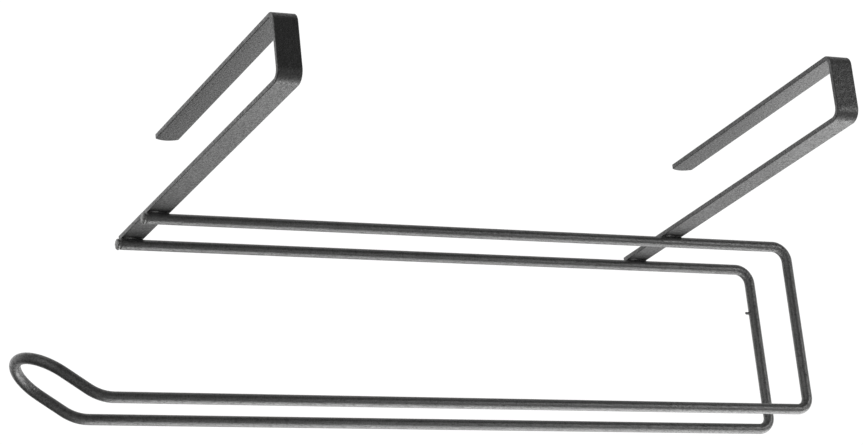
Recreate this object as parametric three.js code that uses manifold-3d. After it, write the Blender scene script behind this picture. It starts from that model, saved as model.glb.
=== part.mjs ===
// Under-shelf kitchen-roll holder: two flat steel hooks slide onto a shelf board, and one bent
// steel wire, welded under them, carries the roll on its two lower rods.
//
// Millimetres. +X runs along the rods towards their closed end, +Y into the shelf, +Z up.
// The origin lies midway between the hooks, on the shelf's front edge, level with its upper face.

import * as THREE from "three";
import { mergeVertices } from "three/addons/utils/BufferGeometryUtils.js";
import Module from "manifold-3d";

const wasm = await Module();
wasm.setup();

// ---- Driving dimensions ----

const WIRE_DIAMETER = 4.5;
const STRIP_WIDTH = 9.6;
const STRIP_THICKNESS = 2;

// Hooks
const HOOK_SPACING = 233; // centre to centre
const SHELF_SLOT = 23; // clear height between a hook's two arms
const UPPER_ARM_REACH = 126; // from the shelf edge to the free end's crown
const LOWER_ARM_REACH = 175.4; // just past the weld on the back rod
const FREE_END_CROWN = 1.6; // how far the rounded free end bulges past its corners
const UPPER_BEND_RADIUS = 2.2; // inner radii of the strip's bends
const LOWER_BEND_RADIUS = 3.2;

// Bent wire; positions are those of the wire's centreline
const FRONT_ROD_Y = 140.5;
const ROD_SPACING = 32; // front rod to back rod
const ROD_DROP = 73.4; // upper rods to lower rods
const UPRIGHT_X = 173;
const WIRE_OVERHANG = 2.1; // the wire's cut ends stand past the left hook's edge
const UPPER_CORNER_RADIUS = 6.5; // centreline radii of the wire's bends
const LOWER_CORNER_RADIUS = 5.5;
const TURN_UP_X = -145.4; // where the lower rods' line meets the turned-up end's line
const TURN_UP_ANGLE = THREE.MathUtils.degToRad(34);
const TURN_UP_LENGTH = 32.9; // from that corner to the crown of the end loop
const TURN_UP_RADIUS = 18.5;

// Welds
const WELD_NUGGET = 0.2; // metal between a rod and the strip above it
const WELD_LENGTH = 8.8; // along the rod
const WELD_TOE = 2.7; // half width of the weld on the strip
const WELD_WRAP = THREE.MathUtils.degToRad(52); // how far round the rod the weld reaches

// Clearance that keeps joined bodies, one of them faceted, from overlapping
const TOUCH_CLEARANCE = 0.05;

// Coating pip on the back upright
const PIP_HEIGHT_Z = -47.6;
const PIP_LENGTH = 2.1;
const PIP_BASE_RADIUS = 0.8;
const PIP_TIP_RADIUS = 0.6;

// Facets
const WIRE_SIDES = 20;
const BEND_STEP = THREE.MathUtils.degToRad(11.25); // largest turn between two wire sections
const ARC_SEGMENTS = 8; // per arc of an outline

// ---- Derived positions ----

const WIRE_RADIUS = WIRE_DIAMETER / 2;
const BACK_ROD_Y = FRONT_ROD_Y + ROD_SPACING;
const LOWER_ARM_UNDERSIDE = -SHELF_SLOT - STRIP_THICKNESS;
const UPPER_ROD_Z = LOWER_ARM_UNDERSIDE - WELD_NUGGET - WIRE_RADIUS;
const LOWER_ROD_Z = UPPER_ROD_Z - ROD_DROP;
const LEFT_HOOK_X = -HOOK_SPACING / 2;
const RIGHT_HOOK_X = HOOK_SPACING / 2;
const WIRE_END_X = LEFT_HOOK_X - STRIP_WIDTH / 2 - WIRE_OVERHANG;

// ---- Finishes ----

const coatedStrip = new THREE.MeshStandardMaterial({ color: 0x4a4a49, roughness: 0.55, metalness: 0.2 });
const coatedWire = new THREE.MeshStandardMaterial({ color: 0x484847, roughness: 0.5, metalness: 0.2 });
const coatedWeld = new THREE.MeshStandardMaterial({ color: 0x2e2e2d, roughness: 0.6, metalness: 0.2 });

// ---- Solid helpers ----

// A closed mesh geometry as a solid that can be joined to another.
function solidOf(geometry) {
  const bare = geometry.index ? geometry.toNonIndexed() : geometry.clone();
  bare.deleteAttribute("normal");
  bare.deleteAttribute("uv");
  const merged = mergeVertices(bare, 1e-4);
  return new wasm.Manifold(
    new wasm.Mesh({
      numProp: 3,
      vertProperties: merged.attributes.position.array,
      triVerts: new Uint32Array(merged.index.array),
    }),
  );
}

// A solid back as a mesh geometry.
function geometryOf(solid) {
  const { vertProperties, triVerts } = solid.getMesh();
  const geometry = new THREE.BufferGeometry();
  geometry.setAttribute("position", new THREE.BufferAttribute(new Float32Array(vertProperties), 3));
  geometry.setIndex(new THREE.BufferAttribute(new Uint32Array(triVerts), 1));
  geometry.computeVertexNormals();
  return geometry;
}

// An outline drawn in (y, z) becomes a prism of the given width, centred on x = 0.
function prismAcrossX(outline, width) {
  const prism = new THREE.ExtrudeGeometry(outline, {
    depth: width,
    bevelEnabled: false,
    curveSegments: ARC_SEGMENTS / 2, // doubled on an arc
  });
  prism.translate(0, 0, -width / 2);
  // Outline x, outline y and depth become y, z and x.
  prism.applyMatrix4(new THREE.Matrix4().set(0, 0, 1, 0, 1, 0, 0, 0, 0, 1, 0, 0, 0, 0, 0, 1));
  return prism;
}

function named(name, geometry, material) {
  const mesh = new THREE.Mesh(geometry, material);
  mesh.name = name;
  return mesh;
}

// ---- Shelf hook ----

// Side view of a hook: a U lying on its side, round at both bends, its arms pointing into +Y.
function hookOutline() {
  const outerUpper = UPPER_BEND_RADIUS + STRIP_THICKNESS;
  const outerLower = LOWER_BEND_RADIUS + STRIP_THICKNESS;
  const lowerCentreZ = -SHELF_SLOT + LOWER_BEND_RADIUS;
  const upperEnd = UPPER_ARM_REACH - FREE_END_CROWN;
  const outline = new THREE.Shape();
  outline.moveTo(upperEnd, STRIP_THICKNESS);
  outline.lineTo(UPPER_BEND_RADIUS, STRIP_THICKNESS);
  outline.absarc(UPPER_BEND_RADIUS, -UPPER_BEND_RADIUS, outerUpper, Math.PI / 2, Math.PI, false);
  outline.lineTo(-STRIP_THICKNESS, lowerCentreZ);
  outline.absarc(LOWER_BEND_RADIUS, lowerCentreZ, outerLower, Math.PI, 1.5 * Math.PI, false);
  outline.lineTo(LOWER_ARM_REACH, LOWER_ARM_UNDERSIDE);
  outline.lineTo(LOWER_ARM_REACH, -SHELF_SLOT);
  outline.lineTo(LOWER_BEND_RADIUS, -SHELF_SLOT);
  outline.absarc(LOWER_BEND_RADIUS, lowerCentreZ, LOWER_BEND_RADIUS, 1.5 * Math.PI, Math.PI, true);
  outline.lineTo(0, -UPPER_BEND_RADIUS);
  outline.absarc(UPPER_BEND_RADIUS, -UPPER_BEND_RADIUS, UPPER_BEND_RADIUS, Math.PI, Math.PI / 2, true);
  outline.lineTo(upperEnd, 0);
  outline.closePath();
  return outline;
}

// The shallow round nose on the upper arm's free end, seen from above, with a short root that
// sinks into the arm.
function freeEndNose() {
  const halfWidth = STRIP_WIDTH / 2;
  const radius = (halfWidth ** 2 + FREE_END_CROWN ** 2) / (2 * FREE_END_CROWN);
  const halfAngle = Math.asin(halfWidth / radius);
  const corner = UPPER_ARM_REACH - FREE_END_CROWN;
  const root = 1;
  const plan = new THREE.Shape();
  plan.moveTo(-halfWidth, corner - root);
  plan.lineTo(halfWidth, corner - root);
  plan.lineTo(halfWidth, corner);
  plan.absarc(
    0, UPPER_ARM_REACH - radius, radius, Math.PI / 2 - halfAngle, Math.PI / 2 + halfAngle, false,
  );
  plan.closePath();
  return new THREE.ExtrudeGeometry(plan, {
    depth: STRIP_THICKNESS,
    bevelEnabled: false,
    curveSegments: ARC_SEGMENTS / 2, // doubled on an arc
  });
}

function shelfHook(name) {
  const strip = solidOf(prismAcrossX(hookOutline(), STRIP_WIDTH));
  return named(name, geometryOf(strip.add(solidOf(freeEndNose()))), coatedStrip);
}

// ---- Bent wire ----

// A path of straight runs joined by arcs. Its sections sit at the ends of each run and at even
// turns through each bend, so a straight run costs no extra facets.
class BentPath extends THREE.Curve {
  constructor(corners) {
    super();
    this.stations = [];
    const first = corners[0].at;
    const last = corners.at(-1).at;
    this.addStation(first, corners[1].at.clone().sub(first).normalize());
    for (let i = 1; i < corners.length - 1; i++) {
      this.addBend(corners[i - 1].at, corners[i], corners[i + 1].at);
    }
    this.addStation(last, last.clone().sub(corners.at(-2).at).normalize());
  }

  // Two bends that meet end to end share one station.
  addStation(point, tangent) {
    const previous = this.stations.at(-1);
    if (previous && previous.point.distanceTo(point) < 1e-6) return;
    this.stations.push({ point, tangent });
  }

  addBend(before, corner, after) {
    const into = corner.at.clone().sub(before).normalize();
    const out = after.clone().sub(corner.at).normalize();
    const turn = into.angleTo(out);
    const start = corner.at.clone().addScaledVector(into, -corner.radius * Math.tan(turn / 2));
    const inward = out.clone().addScaledVector(into, -out.dot(into)).normalize();
    const steps = Math.ceil(turn / BEND_STEP);
    for (let k = 0; k <= steps; k++) {
      const angle = (turn * k) / steps;
      const point = start
        .clone()
        .addScaledVector(into, corner.radius * Math.sin(angle))
        .addScaledVector(inward, corner.radius * (1 - Math.cos(angle)));
      const tangent = into.clone().multiplyScalar(Math.cos(angle)).addScaledVector(inward, Math.sin(angle));
      this.addStation(point, tangent);
    }
  }

  stationAt(u) {
    return this.stations[Math.round(u * (this.stations.length - 1))];
  }

  getPointAt(u) {
    return this.stationAt(u).point.clone();
  }

  getTangentAt(u) {
    return this.stationAt(u).tangent.clone();
  }

  getSpacedPoints(divisions) {
    return Array.from({ length: divisions + 1 }, (_, i) => this.getPointAt(i / divisions));
  }
}

// One leg of the hairpin, from its cut end under the left hook to the crown of the end loop.
function legCorners(y) {
  const crownX = TURN_UP_X - TURN_UP_LENGTH * Math.cos(TURN_UP_ANGLE);
  const crownZ = LOWER_ROD_Z + TURN_UP_LENGTH * Math.sin(TURN_UP_ANGLE);
  return [
    { at: new THREE.Vector3(WIRE_END_X, y, UPPER_ROD_Z) },
    { at: new THREE.Vector3(UPRIGHT_X, y, UPPER_ROD_Z), radius: UPPER_CORNER_RADIUS },
    { at: new THREE.Vector3(UPRIGHT_X, y, LOWER_ROD_Z), radius: LOWER_CORNER_RADIUS },
    { at: new THREE.Vector3(TURN_UP_X, y, LOWER_ROD_Z), radius: TURN_UP_RADIUS },
    { at: new THREE.Vector3(crownX, y, crownZ), radius: ROD_SPACING / 2 },
  ];
}

function rollWire() {
  const path = new BentPath([...legCorners(FRONT_ROD_Y), ...legCorners(BACK_ROD_Y).reverse()]);
  const section = new THREE.Shape();
  section.absarc(0, 0, WIRE_RADIUS, 0, 2 * Math.PI, false);
  const swept = new THREE.ExtrudeGeometry(section, {
    extrudePath: path,
    steps: path.stations.length - 1,
    curveSegments: WIRE_SIDES / 2, // doubled on an arc
  });
  return named("roll_wire", swept, coatedWire);
}

// ---- Welds ----

// Cross-section of a weld, seen along the rod: flat against the strip, hollowed round the rod,
// with a small bead either side. The outline's origin is on the strip's underside above the rod.
function weldOutline() {
  const hollowRadius = WIRE_RADIUS + TOUCH_CLEARANCE;
  const axisDepth = -WELD_NUGGET - WIRE_RADIUS;
  const rimY = hollowRadius * Math.sin(WELD_WRAP);
  const rimZ = axisDepth + hollowRadius * Math.cos(WELD_WRAP);
  const outline = new THREE.Shape();
  outline.moveTo(-WELD_TOE, 0);
  outline.quadraticCurveTo(-WELD_TOE, rimZ, -rimY, rimZ);
  outline.absarc(0, axisDepth, hollowRadius, Math.PI / 2 + WELD_WRAP, Math.PI / 2 - WELD_WRAP, true);
  outline.quadraticCurveTo(WELD_TOE, rimZ, WELD_TOE, 0);
  outline.closePath();
  return outline;
}

function weld(name, x, y) {
  const bead = named(name, prismAcrossX(weldOutline(), WELD_LENGTH), coatedWeld);
  bead.position.set(x, y, LOWER_ARM_UNDERSIDE);
  return bead;
}

// ---- Coating pip ----

// A small tapered stub on the inner side of the back upright, pointing along -X.
function coatingPip() {
  const profile = new THREE.Path();
  profile.moveTo(0, 0);
  profile.lineTo(PIP_BASE_RADIUS, 0);
  profile.lineTo(PIP_TIP_RADIUS, PIP_LENGTH - PIP_TIP_RADIUS);
  profile.absarc(0, PIP_LENGTH - PIP_TIP_RADIUS, PIP_TIP_RADIUS, 0, Math.PI / 2, false);
  const pip = named("coating_pip", new THREE.LatheGeometry(profile.getPoints(4), 16), coatedWire);
  pip.rotation.z = Math.PI / 2;
  pip.position.set(UPRIGHT_X - WIRE_RADIUS - TOUCH_CLEARANCE, BACK_ROD_Y, PIP_HEIGHT_Z);
  return pip;
}

// ---- Assembly ----

const holder = new THREE.Group();
holder.add(rollWire(), coatingPip());

for (const [side, x] of [["left", LEFT_HOOK_X], ["right", RIGHT_HOOK_X]]) {
  const hook = shelfHook(`${side}_shelf_hook`);
  hook.position.x = x;
  holder.add(hook);
  holder.add(weld(`${side}_front_weld`, x, FRONT_ROD_Y));
  holder.add(weld(`${side}_back_weld`, x, BACK_ROD_Y));
}

export default holder;
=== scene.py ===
"""Looks of the under-shelf kitchen-roll holder: fine meshes in place of the plain CAD solids.

Metres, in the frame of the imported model: +X along the rods towards their closed end, +Y into the
shelf, +Z up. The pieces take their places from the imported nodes' boxes.
"""
from math import atan2, ceil, cos, exp, pi, radians, sin, sqrt, tan

import bmesh
import bpy
from mathutils import Matrix, Vector, noise


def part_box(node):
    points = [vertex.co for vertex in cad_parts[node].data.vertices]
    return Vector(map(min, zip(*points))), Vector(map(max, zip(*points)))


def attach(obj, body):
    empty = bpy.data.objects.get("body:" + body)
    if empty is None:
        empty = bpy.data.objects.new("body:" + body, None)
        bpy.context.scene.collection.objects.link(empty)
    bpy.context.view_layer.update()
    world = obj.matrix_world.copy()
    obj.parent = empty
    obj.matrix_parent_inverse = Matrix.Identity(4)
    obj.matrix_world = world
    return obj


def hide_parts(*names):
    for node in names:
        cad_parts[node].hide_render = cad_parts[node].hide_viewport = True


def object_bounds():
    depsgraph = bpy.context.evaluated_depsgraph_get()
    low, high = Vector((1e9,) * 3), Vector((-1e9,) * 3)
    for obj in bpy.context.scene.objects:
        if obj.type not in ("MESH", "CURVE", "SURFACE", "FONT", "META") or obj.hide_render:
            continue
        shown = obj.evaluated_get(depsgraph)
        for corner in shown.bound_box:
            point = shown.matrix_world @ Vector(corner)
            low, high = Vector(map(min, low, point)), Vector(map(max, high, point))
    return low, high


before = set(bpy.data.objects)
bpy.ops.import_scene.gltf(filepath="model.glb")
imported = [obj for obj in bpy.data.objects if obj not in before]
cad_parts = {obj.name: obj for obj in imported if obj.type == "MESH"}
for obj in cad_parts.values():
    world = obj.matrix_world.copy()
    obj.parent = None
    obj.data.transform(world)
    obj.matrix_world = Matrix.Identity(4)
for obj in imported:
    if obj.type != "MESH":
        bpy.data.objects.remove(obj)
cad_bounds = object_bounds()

MM = 0.001

# ---- Dimensions ----

# Round wire; radii of bends are those of its centreline
WIRE_RADIUS = 2.25 * MM
WIRE_OVERHANG = 2.1 * MM
UPPER_CORNER_RADIUS = 6.5 * MM
LOWER_CORNER_RADIUS = 5.5 * MM
TURN_UP_ANGLE = radians(34)
TURN_UP_LENGTH = 32.9 * MM
TURN_UP_RADIUS = 18.5 * MM
WIRE_SIDES = 40
RUN_STEP = 4 * MM
SHORTEST_RUN = 0.01 * MM
BEND_STEP = radians(4)

# Sheared wire end: distance from the cut in mm and share of the wire's radius, for each ring
CUT_PROFILE = (
    (0.00, 0.42), (0.02, 0.70), (0.10, 0.84), (0.28, 0.95), (0.50, 1.0), (0.75, 1.01),
    (0.92, 0.98), (1.06, 0.89), (1.30, 0.88), (1.52, 0.96), (1.90, 1.0),
)
CUT_LENGTH = CUT_PROFILE[-1][0] * MM
CUT_FACE_DEPTH = 0.35 * MM
# Unevenness of a cut: its height, the size of its ripples, how fast its face slants round the
# wire, and how much one end differs from the other
CUT_ROUGHNESS = 0.12 * MM
CUT_RIPPLE = 0.9 * MM
CUT_SLANT = 2.3
CUT_VARIETY = 40
# Burr under a cut: its height, its middle from the cut, and the half length and half angle of it
BURR_HEIGHT = 0.26 * MM
BURR_FROM_CUT = 0.75 * MM
BURR_HALF_LENGTH = 0.45 * MM
BURR_HALF_ANGLE = radians(34)
# Heights below the upper rods' axis: where the burr starts, and where the rods have surely ended
BURR_DROP = 0.6 * WIRE_RADIUS
UPPER_RODS_DROP = 3 * WIRE_RADIUS

# Flat strip
STRIP_THICKNESS = 2 * MM
UPPER_ARM_REACH = 126 * MM
UPPER_BEND_RADIUS = 3.2 * MM
LOWER_BEND_RADIUS = 4.2 * MM
FREE_END_CROWN = 1.6 * MM
FREE_END_CORNER = 0.5 * MM
SQUARE_END_CORNER = 0.6 * MM
FREE_END_STEPS = 10
CORNER_STEPS = 4
STRIP_EDGE_RADIUS = 0.28 * MM
STRIP_EDGE_STEPS = 5
# Width of the flat rim beside each rounded edge, which keeps the broad faces' shading flat
STRIP_RIM = 0.12 * MM

# Welds: steps along and across, blunt tapered ends, depth sunk into rod and strip, and the angle
# of the rod that the metal covers
WELD_STEP = 0.15 * MM
WELD_FACE_STEPS = 8
WELD_END_TAPER = 0.9 * MM
WELD_BLUNT_END = 0.02
WELD_SINK = 0.12 * MM
WELD_WRAP = radians(42)
WELD_LEAST_WRAP = radians(16)
# Humps along a weld: where along it, how wide and how full, each as a share; and what is left
# between them
WELD_HUMPS = ((0.26, 0.34, 1.0), (0.93, 0.11, 0.8))
WELD_SADDLE = 0.30
# Lumps on a weld: size and strength of the coarse and the fine ones
WELD_LUMP = 1.6 * MM
WELD_FINE_LUMP = WELD_LUMP / 3
WELD_COARSE = 0.36
WELD_FINE = 0.22
# Shares of the humps, the lumps and the ends' taper in how far the metal reaches over the strip
# and wraps the rod
WELD_REACH_SHARES = (0.84, 0.5, 0.35)
WELD_WRAP_SHARES = (0.95, 0.6, 0.45)
# Bulge of a weld's face, from 0 for hollow to 1 for full: its middle value, how strongly it varies
# and the size of the lumps that it varies with
WELD_BULGE = 0.75
WELD_BULGE_CHANGE = 0.8
WELD_BULGE_LUMP = WELD_LUMP * 0.8
# Places in the noise: each row's, the step to the next hook's, the offsets to other kinds of lump
# and to the back of a rod, and the third coordinate as a share of the second
WELD_SEEDS = (("front", 11.3), ("back", 23.9))
HOOK_SEED_STEP = 5
FINE_SEED = 4.7
BULGE_SEED = 9.1
BACK_SIDE_SEED = 31.7
SEED_SLANT = 0.37

# Coating pip: distance from the wire as a share of its length and share of its radius, per ring
PIP_PROFILE = (
    (-0.25, 1.15), (0.0, 1.12), (0.08, 0.98), (0.18, 0.84), (0.32, 0.74), (0.50, 0.70),
    (0.66, 0.72), (0.80, 0.70), (0.90, 0.56), (0.96, 0.38), (1.0, 0.12),
)
PIP_RADIUS = 0.8 * MM
PIP_SAG = 0.12 * MM
PIP_SIDES = 20
# Unevenness of the pip: its strength, its waves round and along the pip, and its place in the noise
PIP_RIPPLE = 0.16
PIP_WAVES_ROUND = 1.4
PIP_WAVES_ALONG = 3
PIP_SEED = 4.2

# Vertices closer than this are one
MERGE_DISTANCE = 0.002 * MM

# ---- Materials ----

# Coating: fineness of its grain, flow and mottle, in noise cells per metre, and the ranges that
# the grain and the mottle spread each property over. The dullest and glossiest grains are given as
# steps from the coating's own roughness.
GRAIN_SCALE = 1300
FLOW_SCALE = 420
MOTTLE_SCALE = 55
SPECKLE = (0.45, 1.55)
DRIFT = (0.88, 1.12)
SHEEN = (0.38, 0.62)
DULLEST = 0.14
GLOSSIEST = -0.11
# Range that a noise texture's values mostly stay in
NOISE_LOW = 0.3
NOISE_HIGH = 0.7

FLOOR_GREYS = (0.88, 0.93)
FLOOR_CLOUD_SCALE = 3.0


def new_material(name):
    material = bpy.data.materials.new(name)
    material.use_nodes = True
    return material, material.node_tree.nodes, material.node_tree.links


def noise_texture(nodes, links, coordinates, scale, detail, roughness=0.5):
    texture = nodes.new("ShaderNodeTexNoise")
    texture.inputs["Scale"].default_value = scale
    texture.inputs["Detail"].default_value = detail
    texture.inputs["Roughness"].default_value = roughness
    links.new(coordinates, texture.inputs["Vector"])
    return texture.outputs["Fac"]


def spread(nodes, links, noise_value, lowest, highest):
    """Spread a noise texture's values over the range from lowest to highest."""
    node = nodes.new("ShaderNodeMapRange")
    node.inputs["From Min"].default_value = NOISE_LOW
    node.inputs["From Max"].default_value = NOISE_HIGH
    node.inputs["To Min"].default_value = lowest
    node.inputs["To Max"].default_value = highest
    links.new(noise_value, node.inputs["Value"])
    return node.outputs["Result"]


def maths(nodes, links, operation, first, second):
    node = nodes.new("ShaderNodeMath")
    node.operation = operation
    for socket, value in zip(node.inputs, (first, second)):
        if isinstance(value, float):
            socket.default_value = value
        else:
            links.new(value, socket)
    return node.outputs["Value"]


def powder_coat(name, colour, roughness, grain_depth):
    """Dark coating with a fine sandy grain: speckled in colour, gloss, sheen and height."""
    material, nodes, links = new_material(name)
    shader = nodes["Principled BSDF"]
    where = nodes.new("ShaderNodeTexCoord").outputs["Object"]

    grain = noise_texture(nodes, links, where, GRAIN_SCALE, detail=1.5, roughness=0.6)
    flow = noise_texture(nodes, links, where, FLOW_SCALE, detail=1.0)
    mottle = noise_texture(nodes, links, where, MOTTLE_SCALE, detail=2.0)

    speckle = spread(nodes, links, grain, *SPECKLE)
    drift = spread(nodes, links, mottle, *DRIFT)
    shade = maths(nodes, links, "MULTIPLY", speckle, drift)
    tint = nodes.new("ShaderNodeVectorMath")
    tint.operation = "SCALE"
    tint.inputs[0].default_value = colour
    links.new(shade, tint.inputs["Scale"])
    links.new(tint.outputs["Vector"], shader.inputs["Base Color"])

    gloss = spread(nodes, links, grain, roughness + DULLEST, roughness + GLOSSIEST)
    links.new(gloss, shader.inputs["Roughness"])
    sheen = spread(nodes, links, grain, *SHEEN)
    links.new(sheen, shader.inputs["Specular IOR Level"])

    height = maths(nodes, links, "ADD", grain, flow)
    bump = nodes.new("ShaderNodeBump")
    bump.inputs["Strength"].default_value = 1.0
    bump.inputs["Distance"].default_value = grain_depth
    links.new(height, bump.inputs["Height"])
    links.new(bump.outputs["Normal"], shader.inputs["Normal"])
    return material


def pale_floor():
    """Matt pale floor with a faint cloudiness. It glows evenly, so no light burns it out."""
    material, nodes, links = new_material("pale_floor")
    shader = nodes["Principled BSDF"]
    where = nodes.new("ShaderNodeTexCoord").outputs["Object"]
    cloud = noise_texture(nodes, links, where, FLOOR_CLOUD_SCALE, detail=3.0)
    tone = nodes.new("ShaderNodeValToRGB")
    for element, grey in zip(tone.color_ramp.elements, FLOOR_GREYS):
        element.color = (grey, grey, grey, 1)
    links.new(cloud, tone.inputs["Fac"])
    links.new(tone.outputs["Color"], shader.inputs["Emission Color"])
    shader.inputs["Emission Strength"].default_value = 1.0
    shader.inputs["Base Color"].default_value = (0, 0, 0, 1)
    shader.inputs["Specular IOR Level"].default_value = 0
    return material


# Name, colour, roughness and depth of the grain
COATED_WIRE = powder_coat("coated_wire", (0.034, 0.034, 0.0335), 0.33, 0.115 * MM)
COATED_STRIP = powder_coat("coated_strip", (0.012, 0.012, 0.0118), 0.43, 0.115 * MM)
COATED_CUT = powder_coat("coated_cut", (0.115, 0.115, 0.113), 0.40, 0.06 * MM)
COATED_WELD = powder_coat("coated_weld", (0.034, 0.034, 0.0335), 0.36, 0.18 * MM)

# ---- Mesh helpers ----


def add_piece(name, node, material, vertices, faces):
    """A smooth closed mesh that stands for a CAD node, which it hides."""
    mesh = bpy.data.meshes.new(name)
    mesh.from_pydata(vertices, [], faces)
    build = bmesh.new()
    build.from_mesh(mesh)
    bmesh.ops.remove_doubles(build, verts=build.verts, dist=MERGE_DISTANCE)
    bmesh.ops.recalc_face_normals(build, faces=build.faces)
    build.to_mesh(mesh)
    build.free()
    mesh.shade_smooth()
    mesh.materials.append(material)
    piece = bpy.data.objects.new(name, mesh)
    bpy.context.scene.collection.objects.link(piece)
    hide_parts(node)
    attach(piece, "root")
    return piece


def bridge(rings, closed_ends=True):
    """Vertices and faces of a skin over rings that all have the same number of points."""
    sides = len(rings[0])
    vertices = [point for ring in rings for point in ring]
    faces = []
    for row in range(len(rings) - 1):
        for k in range(sides):
            here = row * sides
            after = here + sides
            step = (k + 1) % sides
            faces.append((here + k, here + step, after + step, after + k))
    if closed_ends:
        faces.append(tuple(range(sides)))
        faces.append(tuple(range(len(vertices) - sides, len(vertices))))
    return vertices, faces


def spaced(start, end, step):
    """Even values from start to end, both included, no further apart than step."""
    count = max(1, ceil(abs(end - start) / step))
    return [start + (end - start) * k / count for k in range(count + 1)]


def round_angles(sides):
    return [2 * pi * k / sides for k in range(sides)]


# ---- Roll wire ----


def wire_corners(y, ends):
    """One leg of the hairpin: its corners and their bend radii, cut end first."""
    crown_x = ends["crown_x"]
    turn_up_x = crown_x + TURN_UP_LENGTH * cos(TURN_UP_ANGLE)
    crown_z = ends["lower_z"] + TURN_UP_LENGTH * sin(TURN_UP_ANGLE)
    return [
        (Vector((ends["cut_x"], y, ends["upper_z"])), 0),
        (Vector((ends["upright_x"], y, ends["upper_z"])), UPPER_CORNER_RADIUS),
        (Vector((ends["upright_x"], y, ends["lower_z"])), LOWER_CORNER_RADIUS),
        (Vector((turn_up_x, y, ends["lower_z"])), TURN_UP_RADIUS),
        (Vector((crown_x, y, crown_z)), ends["loop_radius"]),
    ]


def wire_path(corners):
    """Points and tangents along straight runs joined by round bends."""
    path = []

    def add_run(start, end):
        along = (end - start).normalized()
        for distance in spaced(0, (end - start).length, RUN_STEP):
            path.append((start + along * distance, along))

    run_start = corners[0][0]
    for (before, _), (corner, radius), (after, _) in zip(corners, corners[1:], corners[2:]):
        into = (corner - before).normalized()
        out = (after - corner).normalized()
        turn = into.angle(out)
        bend_start = corner - into * radius * tan(turn / 2)
        inward = (out - into * out.dot(into)).normalized()
        if (bend_start - run_start).length > SHORTEST_RUN:
            add_run(run_start, bend_start)
        for angle in spaced(0, turn, BEND_STEP)[1:-1]:
            point = bend_start + radius * (into * sin(angle) + inward * (1 - cos(angle)))
            path.append((point, into * cos(angle) + inward * sin(angle)))
        run_start = corner + out * radius * tan(turn / 2)
    add_run(run_start, corners[-1][0])
    return path


def cut_end_rings(centre, outward, across, down):
    """Rings of a sheared wire end, from the cut inwards, with a burr left under it."""
    rings = []
    for millimetres, share in CUT_PROFILE:
        depth = millimetres * MM
        fade = max(0.0, 1 - depth / CUT_LENGTH)
        burr_along = max(0.0, 1 - ((depth - BURR_FROM_CUT) / BURR_HALF_LENGTH) ** 2)
        ring = []
        for angle in round_angles(WIRE_SIDES):
            spoke = across * cos(angle) + down * sin(angle)
            # Angle from straight down, between -pi and pi
            from_down = atan2(sin(angle - pi / 2), cos(angle - pi / 2))
            burr = burr_along * max(0.0, 1 - (from_down / BURR_HALF_ANGLE) ** 2)
            ripple = noise.noise((centre + spoke * WIRE_RADIUS) / CUT_RIPPLE)
            radius = WIRE_RADIUS * share + BURR_HEIGHT * burr + CUT_ROUGHNESS * ripple * fade
            shift = CUT_ROUGHNESS * fade * noise.noise(spoke * CUT_SLANT + centre * CUT_VARIETY)
            ring.append(centre - outward * (depth + shift) + spoke * radius)
        rings.append(ring)
    return rings


def thin_coat_on_cuts(wire, ends):
    """The coating is thinner, and paler, on the cut faces and on the burr below them."""
    wire.data.materials.append(COATED_CUT)
    for polygon in wire.data.polygons:
        drop = ends["upper_z"] - polygon.center.z
        depth = BURR_FROM_CUT + BURR_HALF_LENGTH if drop > BURR_DROP else CUT_FACE_DEPTH
        if drop <= UPPER_RODS_DROP and polygon.center.x - ends["cut_x"] < depth:
            polygon.material_index = 1


def roll_wire():
    low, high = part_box("roll_wire")
    hook_low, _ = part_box("left_shelf_hook")
    front_y = low.y + WIRE_RADIUS
    back_y = high.y - WIRE_RADIUS
    ends = {
        "cut_x": hook_low.x - WIRE_OVERHANG,
        "crown_x": low.x + WIRE_RADIUS,
        "upright_x": high.x - WIRE_RADIUS,
        "lower_z": low.z + WIRE_RADIUS,
        "upper_z": high.z - WIRE_RADIUS,
        "loop_radius": (back_y - front_y) / 2,
    }
    path = wire_path(wire_corners(front_y, ends) + wire_corners(back_y, ends)[::-1])

    # Each ring is turned with the path from the one before, so the skin never twists.
    first_point, first_along = path[0]
    last_point, last_along = path[-1]
    first_across = Vector((0, 1, 0))
    across = first_across
    rings = []
    for point, along in path:
        across = (across - along * across.dot(along)).normalized()
        beside = across.cross(along)
        if min((point - first_point).length, (point - last_point).length) > CUT_LENGTH:
            spokes = [across * cos(a) + beside * sin(a) for a in round_angles(WIRE_SIDES)]
            rings.append([point + WIRE_RADIUS * spoke for spoke in spokes])

    head = cut_end_rings(first_point, -first_along, first_across, first_across.cross(first_along))
    tail = cut_end_rings(last_point, last_along, across, across.cross(last_along))
    vertices, faces = bridge(head + rings + tail[::-1])
    wire = add_piece("roll_wire_coated", "roll_wire", COATED_WIRE, vertices, faces)
    thin_coat_on_cuts(wire, ends)


# ---- Shelf hooks ----


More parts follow.
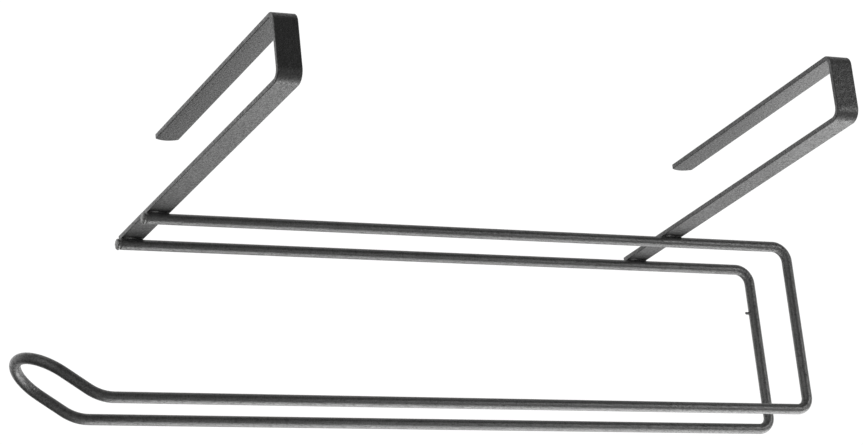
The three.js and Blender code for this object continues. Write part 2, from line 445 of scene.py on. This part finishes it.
class StripPath:
    """Middle line of a hook's strip in (y, z), from the lower arm's end to the free end."""

    def __init__(self, low, high):
        half = STRIP_THICKNESS / 2
        self.lower_z = low.z + half
        self.upper_z = high.z - half
        self.front_y = low.y + half
        lower_run = high.y - self.front_y - LOWER_BEND_RADIUS
        upright = self.upper_z - self.lower_z - LOWER_BEND_RADIUS - UPPER_BEND_RADIUS
        upper_run = UPPER_ARM_REACH - self.front_y - UPPER_BEND_RADIUS
        self.tail_y = high.y
        self.legs = []
        self.length = 0
        for kind, size in (
            ("run", lower_run), ("bend", LOWER_BEND_RADIUS), ("run", upright),
            ("bend", UPPER_BEND_RADIUS), ("run", upper_run),
        ):
            distance = size * pi / 2 if kind == "bend" else size
            self.legs.append((kind, size, self.length, distance))
            self.length += distance

    def stations(self):
        """Distances along the strip where it needs a row of vertices."""
        places = []
        for kind, size, start, distance in self.legs:
            step = size * BEND_STEP if kind == "bend" else RUN_STEP
            places += spaced(start, start + distance, step)[1:]
        return places[:-1]

    def at(self, distance):
        """Point on the middle line and the direction out of the U there, as (y, z) pairs."""
        y, z = self.tail_y, self.lower_z
        heading = pi
        for index, (kind, size, start, length) in enumerate(self.legs):
            last = index == len(self.legs) - 1
            part = distance - start if last else min(distance - start, length)
            if kind == "run":
                y += cos(heading) * part
                z += sin(heading) * part
            else:
                turned = part / size
                centre_y = y + size * sin(heading)
                centre_z = z - size * cos(heading)
                heading -= turned
                y = centre_y - size * sin(heading)
                z = centre_z + size * cos(heading)
            if not last and distance <= start + length:
                break
        return (y, z), (-sin(heading), cos(heading))


def corner_arc(centre, radius, start, end, steps):
    """Half-width, distance and outward normal of points round a corner, seen in plan."""
    points = []
    for k in range(steps + 1):
        angle = start + (end - start) * k / steps
        across, along = cos(angle), sin(angle)
        points.append((centre[0] + radius * across, centre[1] + radius * along, across, along))
    return points


def strip_half_outline(half_width, path):
    """Right half of the flat strip in plan: square end, side, shallow round free end."""
    outline = [(0, 0, 0, -1)]
    tail = SQUARE_END_CORNER
    outline += corner_arc((half_width - tail, tail), tail, -pi / 2, 0, CORNER_STEPS)
    nose_radius = (half_width ** 2 + FREE_END_CROWN ** 2) / (2 * FREE_END_CROWN)
    nose_centre = path.length - nose_radius
    # The corner's circle touches the side and, from inside, the free end's arc.
    corner = FREE_END_CORNER
    corner_across = half_width - corner
    corner_along = nose_centre + sqrt((nose_radius - corner) ** 2 - corner_across ** 2)
    tilt = atan2(corner_along - nose_centre, corner_across)
    side = [distance for distance in path.stations() if tail < distance < corner_along]
    outline += [(half_width, distance, 1, 0) for distance in side]
    outline += corner_arc((corner_across, corner_along), corner, 0, tilt, CORNER_STEPS)
    outline += corner_arc((0, nose_centre), nose_radius, tilt, pi / 2, FREE_END_STEPS)[1:]
    return outline


def shelf_hook(side):
    node = f"{side}_shelf_hook"
    low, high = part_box(node)
    centre_x = (low.x + high.x) / 2
    path = StripPath(low, high)
    outline = strip_half_outline((high.x - low.x) / 2, path)

    # Levels run over the rounded edge, from the inner face's rim to the outer face's.
    rise = STRIP_THICKNESS / 2
    radius = STRIP_EDGE_RADIUS
    levels = [(radius + STRIP_RIM, -rise)]
    for k in range(STRIP_EDGE_STEPS + 1):
        angle = pi / 2 * k / STRIP_EDGE_STEPS
        levels.append((radius * (1 - sin(angle)), -rise + radius * (1 - cos(angle))))
    levels += [(inset, -height) for inset, height in reversed(levels)]

    def place(plan_point, side_sign, inset, height):
        """A point of the plan, moved in from the edge and bent along the strip's path."""
        width, distance, out_across, out_along = plan_point
        (y, z), (out_y, out_z) = path.at(distance - inset * out_along)
        x = centre_x + side_sign * (width - inset * out_across)
        return Vector((x, y + out_y * height, z + out_z * height))

    rings = []
    for inset, height in levels:
        right = [place(plan_point, 1, inset, height) for plan_point in outline]
        left = [place(plan_point, -1, inset, height) for plan_point in outline[1:-1]]
        rings.append(right + left[::-1])
    vertices, faces = bridge(rings, closed_ends=False)

    # Each broad face is a ladder of quads between the strip's right and left sides.
    count = len(outline)
    ring_size = len(rings[0])
    for base in (0, len(vertices) - ring_size):
        for k in range(count - 1):
            right_here = base + k
            right_next = base + k + 1
            left_here = base + (ring_size - k) % ring_size
            left_next = base + (ring_size - k - 1) % ring_size
            corners = []
            for index in (right_here, right_next, left_next, left_here):
                if index not in corners:
                    corners.append(index)
            faces.append(tuple(corners))
    add_piece(f"{side}_hook_coated", node, COATED_STRIP, vertices, faces)


# ---- Welds ----


def lumps(x, seed, size):
    """Uneven value between about -1 and 1 at a place along a weld."""
    return noise.noise(Vector((x / size, seed, seed * SEED_SLANT)))


def swelling(along):
    """How full a weld is at a share of its length, from its humps."""
    humps = [full * exp(-(((along - centre) / width) ** 2)) for centre, width, full in WELD_HUMPS]
    return WELD_SADDLE + (1 - WELD_SADDLE) * max(humps)


def weld_share(shares, swell, wobble, taper):
    """Share of its greatest reach or wrap that a weld has at one place."""
    from_humps, from_lumps, from_taper = shares
    return (from_humps * swell + from_lumps * wobble) * (1 - from_taper + from_taper * taper)


def weld_side(x, along, seed, toe, taper, strip_z, axis_z, sign):
    """Section of the metal on one side of the rod, as (y, z) points from the strip to the rod."""
    coarse = WELD_COARSE * lumps(x, seed, WELD_LUMP)
    wobble = coarse + WELD_FINE * lumps(x, seed + FINE_SEED, WELD_FINE_LUMP)
    swell = swelling(along)
    wrap = WELD_WRAP * weld_share(WELD_WRAP_SHARES, swell, wobble, taper)
    wrap = max(wrap, WELD_LEAST_WRAP)
    reach = toe * weld_share(WELD_REACH_SHARES, swell, wobble, taper)
    reach = max(reach, WIRE_RADIUS * sin(wrap) + 2 * WELD_SINK)
    bulge = WELD_BULGE + WELD_BULGE_CHANGE * lumps(x, seed + BULGE_SEED, WELD_BULGE_LUMP)

    # The face is a curve from the toe on the strip to the rim on the rod.
    edge = Vector((reach, strip_z))
    rim = Vector((WIRE_RADIUS * sin(wrap), axis_z + WIRE_RADIUS * cos(wrap)))
    handle = Vector((rim.x, strip_z)).lerp(Vector((reach, rim.y)), bulge)
    face = []
    for t in spaced(0, 1, 1 / WELD_FACE_STEPS):
        face.append(edge * (1 - t) ** 2 + handle * 2 * t * (1 - t) + rim * t ** 2)

    # Out of sight it runs on inside the strip and inside the rod.
    root = [Vector((reach - WELD_SINK, strip_z + WELD_SINK))]
    inside = WIRE_RADIUS - WELD_SINK
    buried = []
    for angle in (wrap, wrap / 2):
        buried.append(Vector((inside * sin(angle), axis_z + inside * cos(angle))))
    return [(sign * spot.x, spot.y) for spot in root + face + buried]


def weld(side, row, seed):
    """Squeezed-out weld metal along both sides of a rod, under the strip."""
    node = f"{side}_{row}_weld"
    low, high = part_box(node)
    centre_y = (low.y + high.y) / 2
    strip_z = high.z
    axis_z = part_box("roll_wire")[1].z - WIRE_RADIUS
    toe = (high.y - low.y) / 2
    rings = []
    for x in spaced(low.x, high.x, WELD_STEP):
        from_end = min(x - low.x, high.x - x)
        taper = sqrt(min(1.0, from_end / WELD_END_TAPER + WELD_BLUNT_END))
        along = (x - low.x) / (high.x - low.x)
        front, back = (
            weld_side(x, along, seed + offset, toe, taper, strip_z, axis_z, sign)
            for offset, sign in ((0, -1), (BACK_SIDE_SEED, 1))
        )
        ring = front + [(0, axis_z + WIRE_RADIUS - WELD_SINK)] + back[::-1]
        rings.append([Vector((x, centre_y + y, z)) for y, z in ring])
    vertices, faces = bridge(rings)
    add_piece(f"{side}_{row}_weld_bead", node, COATED_WELD, vertices, faces)


# ---- Coating pip ----


def coating_pip():
    """A small drip of coating: a flared foot on the wire, a leaning neck and a round tip."""
    low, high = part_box("coating_pip")
    centre_y = (low.y + high.y) / 2
    centre_z = (low.z + high.z) / 2
    rings = []
    for along, share in PIP_PROFILE:
        sag = PIP_SAG * sin(pi * along)
        centre = Vector((high.x - (high.x - low.x) * along, centre_y, centre_z - sag))
        place = Vector((along * PIP_WAVES_ALONG, 0, PIP_SEED))
        ring = []
        for angle in round_angles(PIP_SIDES):
            spoke = Vector((0, cos(angle), sin(angle)))
            ripple = 1 + PIP_RIPPLE * noise.noise(spoke * PIP_WAVES_ROUND + place)
            ring.append(centre + spoke * PIP_RADIUS * share * ripple)
        rings.append(ring)
    vertices, faces = bridge(rings)
    add_piece("coating_drip", "coating_pip", COATED_WIRE, vertices, faces)


# ---- Stage, light and camera ----

CAMERA_AZIMUTH = radians(-26.37)
CAMERA_ELEVATION = radians(-18.24)
CAMERA_ROLL = radians(-6.12)
CAMERA_DISTANCE = 1.1
AIM_FROM_CENTRE = Vector((-25.5, -3.0, 6.1)) * MM
# Lens and sensor in mm, and the nearest and furthest that the camera sees, in metres
CAMERA_LENS = 117.94
CAMERA_SENSOR = 36
CAMERA_RANGE = (0.05, 100)

FLOOR_DROP = 0.50
FLOOR_SIZE = 60.0

# Surroundings: their level away from the patches, and what the camera sees of them
AMBIENT = 0.50
BACKDROP = 1.05
# Bright patches: direction, half angles in degrees where each starts and is full, and its level
GLOWS = (
    ((0.52, 0.22, -0.82), 40, 26, 1.2),  # below, to the right
    ((0.74, 0.62, -0.26), 34, 10, 0.48),  # low behind, to the right
    ((0.35, 0.87, -0.32), 30, 10, 0.52),  # low behind
    ((-0.30, 0.87, 0.38), 56, 18, 1.0),  # behind, to the left
    ((1.0, 0.10, 0.0), 65, 30, 0.6),  # right
    ((-0.75, -0.60, 0.20), 40, 15, 0.9),  # in front, to the left
)
# Dark patches in the same way; each one's level is the share of the light that it takes away
DARK_PATCHES = (
    ((0.28, -0.87, 0.41), 42, 20, 0.97),  # in front and above
    ((-0.50, 0.50, -0.71), 46, 24, 0.85),  # below, behind and to the left
)

# Soft lights that face the holder: name, direction from it, distance, width, height and power
LIGHTS = (
    ("overhead", (0.15, 0.10, 1.0), 2.2, 2.0, 2.0, 6),
    ("front_right", (0.72, -0.69, 0.0), 0.75, 0.4, 0.4, 2.1),
)
# Wide soft light below and behind the holder, facing straight up
BELOW_CENTRE = Vector((165, 185, -215)) * MM
BELOW_WIDTH = 570 * MM
BELOW_DEPTH = 200 * MM
BELOW_POWER = 1.35


def pale_stage(centre, floor_z):
    """A wide floor that the camera sees, but that neither lights the holder nor shows in it."""
    mesh = bpy.data.meshes.new("floor")
    half = FLOOR_SIZE / 2
    corners = [(-half, -half), (half, -half), (half, half), (-half, half)]
    mesh.from_pydata([(centre.x + x, centre.y + y, floor_z) for x, y in corners], [], [(0, 1, 2, 3)])
    mesh.materials.append(pale_floor())
    floor = bpy.data.objects.new("floor", mesh)
    bpy.context.scene.collection.objects.link(floor)
    floor.visible_diffuse = False
    floor.visible_glossy = False


def glow(nodes, links, where, direction, start, full, level):
    """Light from round one direction: none past the angle start, the whole level inside full."""
    towards = nodes.new("ShaderNodeVectorMath")
    towards.operation = "DOT_PRODUCT"
    towards.inputs[1].default_value = Vector(direction).normalized()
    links.new(where, towards.inputs[0])
    ramp = nodes.new("ShaderNodeMapRange")
    ramp.interpolation_type = "SMOOTHSTEP"
    ramp.inputs["From Min"].default_value = cos(radians(start))
    ramp.inputs["From Max"].default_value = cos(radians(full))
    ramp.inputs["To Max"].default_value = level
    links.new(towards.outputs["Value"], ramp.inputs["Value"])
    return ramp.outputs["Result"]


def surroundings():
    """A grey studio with bright and dark patches round the holder, white where the camera sees it."""
    world = bpy.data.worlds.new("studio")
    bpy.context.scene.world = world
    world.use_nodes = True
    nodes = world.node_tree.nodes
    links = world.node_tree.links
    where = nodes.new("ShaderNodeTexCoord").outputs["Generated"]
    level = AMBIENT
    for settings in GLOWS:
        level = maths(nodes, links, "ADD", glow(nodes, links, where, *settings), level)
    for settings in DARK_PATCHES:
        shade = maths(nodes, links, "SUBTRACT", 1.0, glow(nodes, links, where, *settings))
        level = maths(nodes, links, "MULTIPLY", level, shade)
    seen = nodes.new("ShaderNodeLightPath").outputs["Is Camera Ray"]
    backdrop = nodes.new("ShaderNodeMix")
    links.new(seen, backdrop.inputs["Factor"])
    links.new(level, backdrop.inputs["A"])
    backdrop.inputs["B"].default_value = BACKDROP
    links.new(backdrop.outputs["Result"], nodes["Background"].inputs["Strength"])
    nodes["Background"].inputs["Color"].default_value = (1, 1, 1, 1)


def soft_light(name, place, target, width, height, power):
    light = bpy.data.lights.new(name, "AREA")
    light.shape = "RECTANGLE"
    light.size = width
    light.size_y = height
    light.energy = power
    lamp = bpy.data.objects.new(name, light)
    lamp.location = place
    lamp.rotation_euler = (target - place).to_track_quat("-Z", "Y").to_euler()
    lamp.visible_camera = False
    bpy.context.scene.collection.objects.link(lamp)


def photo_camera(centre):
    view = Vector((
        -sin(CAMERA_AZIMUTH) * cos(CAMERA_ELEVATION),
        cos(CAMERA_AZIMUTH) * cos(CAMERA_ELEVATION),
        -sin(CAMERA_ELEVATION),
    ))
    camera = bpy.data.cameras.new("camera")
    camera.sensor_width = CAMERA_SENSOR
    camera.lens = CAMERA_LENS
    camera.clip_start, camera.clip_end = CAMERA_RANGE
    body = bpy.data.objects.new("camera", camera)
    place = centre + AIM_FROM_CENTRE - view * CAMERA_DISTANCE
    turn = view.to_track_quat("-Z", "Y").to_matrix() @ Matrix.Rotation(CAMERA_ROLL, 3, "Z")
    body.matrix_world = Matrix.Translation(place) @ turn.to_4x4()
    bpy.context.scene.collection.objects.link(body)
    bpy.context.scene.camera = body


# ---- Assembly ----

roll_wire()
coating_pip()
for number, side in enumerate(("left", "right")):
    shelf_hook(side)
    for row, seed in WELD_SEEDS:
        weld(side, row, seed + HOOK_SEED_STEP * number)

bounds_low, bounds_high = cad_bounds
middle = (Vector(bounds_low) + Vector(bounds_high)) / 2
pale_stage(middle, bounds_low[2] - FLOOR_DROP)
surroundings()
for name, direction, distance, width, height, power in LIGHTS:
    place = middle + Vector(direction).normalized() * distance
    soft_light(name, place, middle, width, height, power)
above = BELOW_CENTRE + Vector((0, 0, 1))
soft_light("below", BELOW_CENTRE, above, BELOW_WIDTH, BELOW_DEPTH, BELOW_POWER)
photo_camera(middle)
bpy.context.scene.view_settings.view_transform = "Standard"
